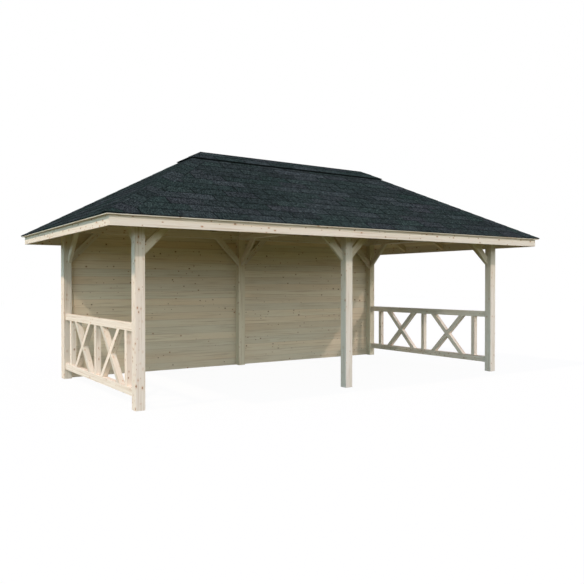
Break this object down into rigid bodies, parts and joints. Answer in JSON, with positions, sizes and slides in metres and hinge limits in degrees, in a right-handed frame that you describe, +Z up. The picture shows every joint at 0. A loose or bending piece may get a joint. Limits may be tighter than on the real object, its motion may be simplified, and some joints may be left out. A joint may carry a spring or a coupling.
{
  "type": "garden gazebo",
  "caption": "Open timber garden gazebo with a hipped shingle roof, braced posts and beams, a boarded rear wall, and low railings with crosses at both ends",
  "frame": {"origin": "on the ground, at the centre of the rectangle that the posts stand on", "axes": "+X along the length, to the right seen from the open front; +Y to the rear wall; +Z up"},
  "size_m": [7.176, 4.136, 3.3912],
  "materials": {
    "frame_timber": "planed spruce",
    "railing_timber": "planed spruce",
    "wall_boards": "planed spruce",
    "roof_timber": "planed spruce",
    "eave_timber": "planed spruce",
    "roof_boards": "planed spruce",
    "shingles": "mineral granules"
  },
  "bodies": {
    "root": {"front_left_post": "frame_timber", "front_middle_post": "frame_timber", "front_right_post": "frame_timber", "rear_left_post": "frame_timber", "rear_middle_post": "frame_timber", "rear_right_post": "frame_timber", "front_beam": "frame_timber", "rear_beam": "frame_timber", "left_beam": "frame_timber", "right_beam": "frame_timber", "tie_beam": "frame_timber", "front_braces": "frame_timber", "rear_braces": "frame_timber", "left_rails": "railing_timber", "left_balusters": "railing_timber", "left_rising_cross_timbers": "railing_timber", "left_falling_cross_timbers": "railing_timber", "right_rails": "railing_timber", "right_balusters": "railing_timber", "right_rising_cross_timbers": "railing_timber", "right_falling_cross_timbers": "railing_timber", "rear_wall_left": "wall_boards", "rear_wall_right": "wall_boards", "ridge_beam": "roof_timber", "hip_rafters": "roof_timber", "front_rafters": "roof_timber", "rear_rafters": "roof_timber", "left_rafters": "roof_timber", "right_rafters": "roof_timber", "front_fascia": "eave_timber", "rear_fascia": "eave_timber", "left_fascia": "eave_timber", "right_fascia": "eave_timber", "long_eave_trims": "eave_timber", "end_eave_trims": "eave_timber", "front_boarding": "roof_boards", "rear_boarding": "roof_boards", "left_boarding": "roof_boards", "right_boarding": "roof_boards", "front_shingles": "shingles", "rear_shingles": "shingles", "left_shingles": "shingles", "right_shingles": "shingles", "hip_shingles": "shingles", "ridge_hood": "shingles"}
  },
  "joints": []
}
